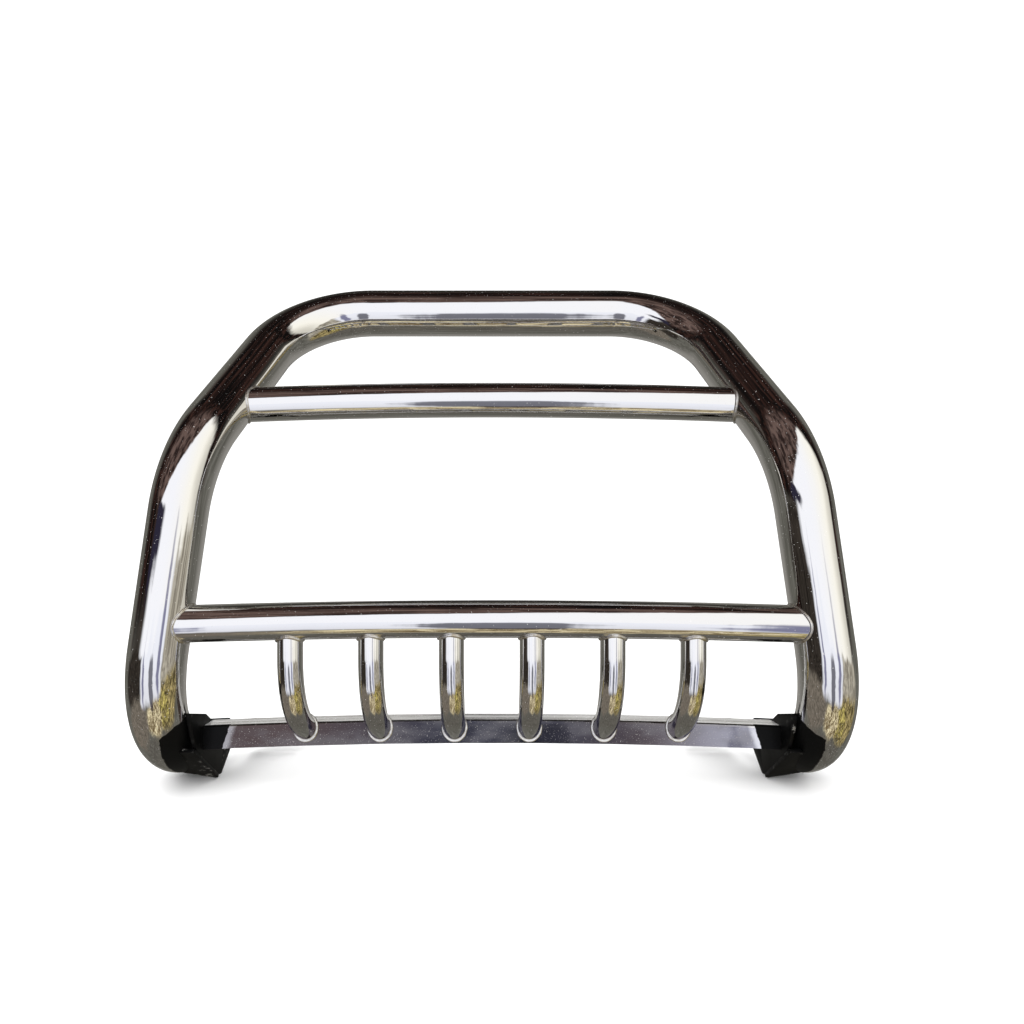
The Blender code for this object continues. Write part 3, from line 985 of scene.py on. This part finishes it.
def build_bracket_welds(side, sign, normal, cap_ring):
    shift = normal * PLATE
    corner_x = sign * (PLATE_INNER_X + PLATE)
    top, bottom = (fold + shift + Vector((corner_x, 0, 0)) for fold in (FOLD_TOP, FOLD_BOTTOM))
    seam = [tuple(top.lerp(bottom, t)) for t in np.linspace(0.12, 0.92, 30)]
    way = (Vector((sign, 0, 0)) + normal).normalized()
    ways = [tuple(way)] * len(seam)
    seed = 2.2 + sign
    weld_bead(f"weld_gusset_plate_{side}", seam, ways, GUSSET_BEAD, PAINT, seed, closed=False)

    leg_inner = sign * (PLATE_INNER_X - GAP - ARM)
    seam = [(leg_inner, -FOOT, z) for z in np.linspace(-0.019, 0.019, 24)]
    way = Vector((-sign, -1, 0)).normalized()
    ways = [tuple(way)] * len(seam)
    weld_bead(f"weld_arm_foot_{side}", seam, ways, ARM_BEAD, PAINT, 5.2 + sign, closed=False)

    y = HOOP_END_Y + GAP / 2
    centre = Vector((sign * LOWER_CORNER[0], y, LOWER_CORNER[2]))
    seam = [(x, y, z) for x, z in cap_ring]
    ways = [tuple((Vector(p) - centre).normalized()) for p in seam]
    weld_bead(f"weld_end_cap_{side}", seam, ways, CAP_BEAD, PAINT, 8.1 + sign)


def hex_reach(angle):
    flat = HEX_RADIUS * math.cos(math.pi / 6)
    turned_by = (angle + math.pi / 6) % (math.pi / 3) - math.pi / 6
    return flat / math.cos(turned_by)


def chamfer(top, direction, steps=5, flat=0.0088):
    """Rings of the conical chamfer at one face of a hexagon, from the face inwards."""
    rise = 0.0014
    return [(flat + rise * 1.75 * i / steps, top - direction * rise * i / steps) for i in range(steps + 1)]


def rod_with_thread(radius, length, threaded, placement, sides=48, pitch=0.00175):
    verts, rows = [], []
    plain = length - threaded
    heights = [0.0, plain] + [plain + threaded * (i + 1) / 84 for i in range(84)]
    for h in heights:
        rows.append(h)
        for j in range(sides):
            angle = 2 * math.pi * j / sides
            depth = 0.0
            if h > plain:
                turn = (h / pitch - j / sides) % 1.0
                depth = 0.00085 * (1 - abs(2 * turn - 1)) * min(1.0, (h - plain) / 0.001)
                depth += 0.0012 * max(0.0, 1 - (length - h) / 0.0012)
            r = radius - depth
            verts.append(placement @ Vector((r * math.cos(angle), r * math.sin(angle), h)))
    faces = grid_faces(len(rows), sides)
    faces.append(tuple(range(sides))[::-1])
    faces.append(tuple(range((len(rows) - 1) * sides, len(rows) * sides)))
    return new_mesh_object("rod", verts, faces)


def joined(first, second):
    """The second mesh added to the first."""
    work = bmesh.new()
    work.from_mesh(first.data)
    work.from_mesh(second.data)
    work.to_mesh(first.data)
    work.free()
    bpy.data.objects.remove(second)
    return first


def build_fastener(side, sign, number, point):
    """A chamfered hex bolt from the outboard side with its washers and nut."""
    leg_inner = PLATE_INNER_X - GAP - ARM
    plate_outer = PLATE_INNER_X + PLATE
    name = f"{side}_{number}"

    def across(x, turn=0.0):
        """Local Z along the outboard direction, its origin at this distance from the middle."""
        basis = Matrix(((0, 0, sign, sign * x), (1, 0, 0, point[0]), (0, sign, 0, point[1]), (0, 0, 0, 1)))
        return basis @ Matrix.Rotation(turn, 4, "Z")

    edge, far = 0.0004, WASHER_RADIUS
    ring = [
        (BOLT_HOLE_RADIUS, 0.0), (far - edge, 0.0), (far, edge), (far, WASHER - edge), (far - edge, WASHER),
        (BOLT_HOLE_RADIUS, WASHER), (BOLT_HOLE_RADIUS, 0.0),
    ]
    head_washer_x = plate_outer + GAP
    nut_washer_x = leg_inner - GAP - WASHER
    for where, x in (("head_washer", head_washer_x), ("nut_washer", nut_washer_x)):
        washer = turned(f"{where}_{name}_ring", ring, 64, across(x))
        dress(washer, ZINC, [f"{where}_{name}"], sharp=35)

    bore = BOLT_RADIUS + GAP
    low, high = chamfer(0.0, -1), chamfer(NUT_HEIGHT, 1)[::-1]
    profile = [(bore, 0.0005), (bore + 0.0007, 0.0), *low, *high, (bore + 0.0007, NUT_HEIGHT)]
    profile += [(bore, NUT_HEIGHT - 0.0005), (bore, 0.0005)]
    nut_x = nut_washer_x - GAP - NUT_HEIGHT
    nut = turned(f"nut_{name}_hex", profile, 72, across(nut_x, 0.35 * number + sign), hex_reach)
    dress(nut, ZINC, [f"nut_{name}"], sharp=25)

    head_x = head_washer_x + WASHER + GAP
    profile = [(0.0092, 0.0), (0.0094, 0.0004), (0.02, 0.0004), *chamfer(HEAD_HEIGHT, 1)[::-1]]
    head = turned(f"bolt_{name}_hex", profile, 72, across(head_x, 0.7 * number - 0.4 * sign), hex_reach)
    tip_x = nut_x - THREAD_STICKS_OUT
    inward = across(head_x + 0.001) @ Matrix.Rotation(math.pi, 4, "X")
    rod = rod_with_thread(BOLT_RADIUS, head_x + 0.001 - tip_x, 0.0150, inward)
    dress(joined(head, rod), ZINC, [f"bolt_{name}"], sharp=25)


# Marks that follow the shape: heat tint beside the welds, and the painted ends of the hoop ------------------

def set_marks(obj, name, values):
    layer = obj.data.attributes.new(name, "FLOAT", "POINT")
    layer.data.foreach_set("value", np.asarray(values, np.float32))


def mark_heat(objects):
    tree = KDTree(len(SEAMS))
    for i, point in enumerate(SEAMS):
        tree.insert(point, i)
    tree.balance()
    for obj in objects:
        near = np.array([tree.find(v.co)[2] for v in obj.data.vertices])
        set_marks(obj, "heat", np.exp(-np.maximum(near - 0.002, 0) / 0.0055))


# The spray's edge on the hoop: a sloping line over its front down to a corner, then a leaning line along it
PAINT_CORNER = (0.4542, -0.2674, 0.0622)
PAINT_TOP_WAY = (0.505, -0.304, 0.808)
PAINT_SIDE_LEAN = 0.229
PAINT_REAR_Y = -0.150


def mark_paint(hoop):
    """Metres from the edge of the black paint, less than zero where the tube is painted. On the inner side of the
    lower ends the black is also painted shade for the recess between the tube and the side plate.
    """
    co = np.array([v.co for v in hoop.data.vertices])
    co[:, 0] = np.abs(co[:, 0])
    from_corner = co - np.array(PAINT_CORNER)
    to_top = from_corner @ np.array(PAINT_TOP_WAY)
    to_side = from_corner[:, 0] + from_corner[:, 2] * PAINT_SIDE_LEAN
    to_rear = PAINT_REAR_Y - co[:, 1]
    bare = np.where(co[:, 2] > 0.15, 1.0, np.minimum(np.maximum(to_top, to_side), to_rear))
    set_marks(hoop, "bare", bare)


def build_guard():
    polished = [build_hoop()]
    polished.append(build_bar("upper_crossbar_tube", "upper_crossbar", UPPER))
    polished.append(build_bar("lower_crossbar_tube", "lower_crossbar", LOWER))
    polished += build_teeth()
    polished.append(build_strip())
    for side, sign in SIDES:
        build_bracket(side, sign)
    mark_heat(polished)
    mark_paint(polished[0])


build_guard()


# Floor, light and camera ---------------------------------------------------------------------------------

def stage_material(name, colour):
    n = Surface(name)
    patch = n.noise(3, 3, 0.5)
    return n.finish(n.mix(n.times(patch, 0.15), colour, tuple(0.96 * c for c in colour)), 0.0, 0.8,
                    n.bump(n.noise(60, 2, 0.5), 0.0002, 0.2))


def build_floor():
    low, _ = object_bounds()
    mesh = bpy.data.meshes.new("floor")
    reach = 30.0
    corners = [(-reach, -reach), (reach, -reach), (reach, reach), (-reach, reach)]
    mesh.from_pydata([(x, y, low.z) for x, y in corners], [], [(0, 1, 2, 3)])
    floor = placed("floor", mesh)
    material = stage_material("pale_floor", (0.97, 0.97, 0.97))
    material.node_tree.nodes["Principled BSDF"].inputs["Specular IOR Level"].default_value = 0.0
    floor.data.materials.append(material)
    floor.visible_glossy = False


def surroundings(n):
    """What the polished steel mirrors, by direction: h and v are degrees right and up from straight ahead of
    the guard. Open sky ahead under a dark canopy, warm scrub low on the right, a dark wall on the left, and
    grey concrete below and behind."""
    split = n.add("ShaderNodeSeparateXYZ")
    n.put(split.inputs[0], n.place)
    x, y, z = split.outputs
    away = n.math("DEGREES", n.math("ARCCOSINE", n.times(y, -1.0)))
    flat = n.plus(n.math("SQRT", n.plus(n.times(x, x), n.times(z, z))), 1e-5)

    h = n.plus(n.math("DIVIDE", n.times(away, x), flat), n.sway(14, 3.1, 3, 0.55))
    v = n.plus(n.math("DIVIDE", n.times(away, z), flat), n.sway(13, 4.7, 3, 0.55))

    def oval(h0, v0, wide, high, soft=0.12):
        """1 inside an oval, 0 outside."""
        a = n.math("DIVIDE", n.minus(h, h0), wide)
        b = n.math("DIVIDE", n.minus(v, v0), high)
        r = n.math("SQRT", n.plus(n.times(a, a), n.times(b, b)))
        return n.ease(r, 1 + soft, 1 - soft)

    patch = n.noise(9, 4, 0.6)
    fine = n.noise(26, 4, 0.65)
    grain = n.ease(fine, 0.35, 0.65)
    leaves = n.ease(n.noise(12, 4, 0.72, distortion=1.4), 0.43, 0.60)
    concrete = n.mix(n.ease(patch, 0.3, 0.7), (0.105, 0.102, 0.088), (0.19, 0.186, 0.165))
    colour = n.mix(n.ease(away, 125, 165), concrete, (0.30, 0.29, 0.27))
    below = n.times(n.ease(v, -78, -86), n.ease(v, -125, -100), n.ease(n.math("ABSOLUTE", h), 90, 60))
    colour = n.mix(below, colour, n.mix(grain, (0.085, 0.080, 0.068), (0.18, 0.17, 0.15)))

    overhead = n.times(n.ease(v, 60, 95), n.ease(n.math("ABSOLUTE", h), 75, 40))
    colour = n.mix(n.times(overhead, 0.85), colour, (0.012, 0.010, 0.009))
    canopy = oval(0, 12, 100, 100, 0.10)
    upper = n.ease(v, -12, 2)
    timber = n.mix(n.ease(patch, 0.42, 0.68), (0.006, 0.005, 0.005), (0.050, 0.024, 0.019))
    colour = n.mix(n.times(canopy, upper), colour, timber)
    colour = n.mix(n.times(oval(-8, 30, 62, 46, 0.10), n.ease(v, 0, 8)), colour,
                   n.mix(n.ease(n.noise(7, 3, 0.6), 0.38, 0.60), (0.030, 0.019, 0.017), (0.17, 0.115, 0.10)))

    wall = n.mix(grain, (0.014, 0.012, 0.010), (0.060, 0.050, 0.042))
    colour = n.mix(oval(-66, -26, 34, 22, 0.15), colour, wall)
    ground = n.mix(grain, (0.12, 0.104, 0.084), (0.27, 0.235, 0.195))
    colour = n.mix(oval(-58, -62, 40, 22, 0.2), colour, ground)

    scrub = n.mix(leaves, (0.075, 0.060, 0.030), (0.56, 0.45, 0.20))
    verge = n.mix(n.ease(patch, 0.36, 0.62), (0.27, 0.245, 0.20), (0.58, 0.54, 0.45))
    colour = n.mix(oval(48, -42, 52, 40, 0.10), colour, n.mix(n.ease(v, -34, -46), verge, scrub))
    colour = n.mix(n.times(oval(40, -62, 22, 13, 0.3), n.ease(patch, 0.38, 0.55)), colour,
                   n.mix(leaves, (0.09, 0.07, 0.025), (0.92, 0.78, 0.24)))
    beige = n.mix(leaves, (0.17, 0.12, 0.06), (1.00, 0.88, 0.58))
    colour = n.mix(oval(4, -66, 26, 17, 0.2), colour, beige)

    haze = n.mix(n.ease(h, -10, 70), (1.15, 1.17, 1.25), (1.20, 1.17, 1.06))
    low_sky = n.times(n.ease(v, -54, -46), n.ease(v, -4, -10), n.ease(n.math("ABSOLUTE", h), 40, 33))
    colour = n.mix(low_sky, colour, n.mix(n.ease(v, -50, -12), (0.94, 0.96, 1.05), (1.06, 1.09, 1.20)))
    edge = n.minus(n.plus(43, n.times(h, 0.62)), v)
    sky = n.times(n.ease(edge, -2, 3), n.ease(v, -14, -9), oval(18, 5, 66, 62, 0.07))
    colour = n.mix(sky, colour, haze)
    far_right = n.times(sky, n.ease(h, 50, 78))
    colour = n.mix(n.times(far_right, 0.6), colour, (0.52, 0.50, 0.44))

    colour = n.mix(oval(-46, 4, 17, 5, 0.35), colour, (0.030, 0.027, 0.050))
    for h0, v0, wide, high in ((25, -27, 5.0, 22), (-27, -30, 3.5, 20)):
        colour = n.mix(n.times(oval(h0, v0, wide, high, 0.35), 0.85), colour, (0.13, 0.13, 0.27))
    figure = n.mix(grain, (0.006, 0.005, 0.020), (0.022, 0.018, 0.060))
    colour = n.mix(n.times(oval(1, -37, 7, 21, 0.22), 0.80), colour, figure)
    return colour


OPEN_LIGHT = (1.30, 1.30, 1.30)


def build_world():
    """White for the camera and for the soft light on matt surfaces; the surroundings only in reflections."""
    world = bpy.data.worlds.new("surroundings")
    bpy.context.scene.world = world
    world.use_nodes = True
    world.node_tree.nodes.clear()
    n = Nodes(world.node_tree, "Generated")
    mirrored = n.add("ShaderNodeLightPath").outputs["Is Glossy Ray"]
    background = n.add("ShaderNodeBackground")
    n.put(background.inputs["Color"], n.mix(mirrored, OPEN_LIGHT, surroundings(n)))
    output = n.add("ShaderNodeOutputWorld")
    n.put(output.inputs["Surface"], background.outputs[0])


def build_lights():
    for name, place, aim, size, power in (
        ("key", (-1.6, -2.2, 2.6), (0, -0.1, 0.3), 2.2, 60),
        ("fill", (2.2, -1.8, 1.6), (0, -0.1, 0.3), 2.4, 30),
    ):
        light = bpy.data.lights.new(name, "AREA")
        light.size = size
        light.energy = power
        lamp = placed(name, light)
        lamp.location = place
        lamp.rotation_euler = (Vector(aim) - Vector(place)).to_track_quat("-Z", "Y").to_euler()
        lamp.visible_glossy = False
        lamp.visible_camera = False


CAMERA_PLACE = (0, -1.2221, 0.337)
CAMERA_LENS = 24.61
CAMERA_SHIFT = (0.0197, 0.0254)


def build_camera():
    camera = bpy.data.cameras.new("camera")
    camera.sensor_width = 36.0
    camera.lens = CAMERA_LENS
    camera.shift_x, camera.shift_y = CAMERA_SHIFT
    camera.clip_start = 0.01
    obj = placed("camera", camera)
    obj.location = CAMERA_PLACE
    obj.rotation_euler = (math.pi / 2, 0, 0)
    bpy.context.scene.camera = obj


build_floor()
build_world()
build_lights()
build_camera()
view = bpy.context.scene.view_settings
view.view_transform = "Standard"
view.look = "None"
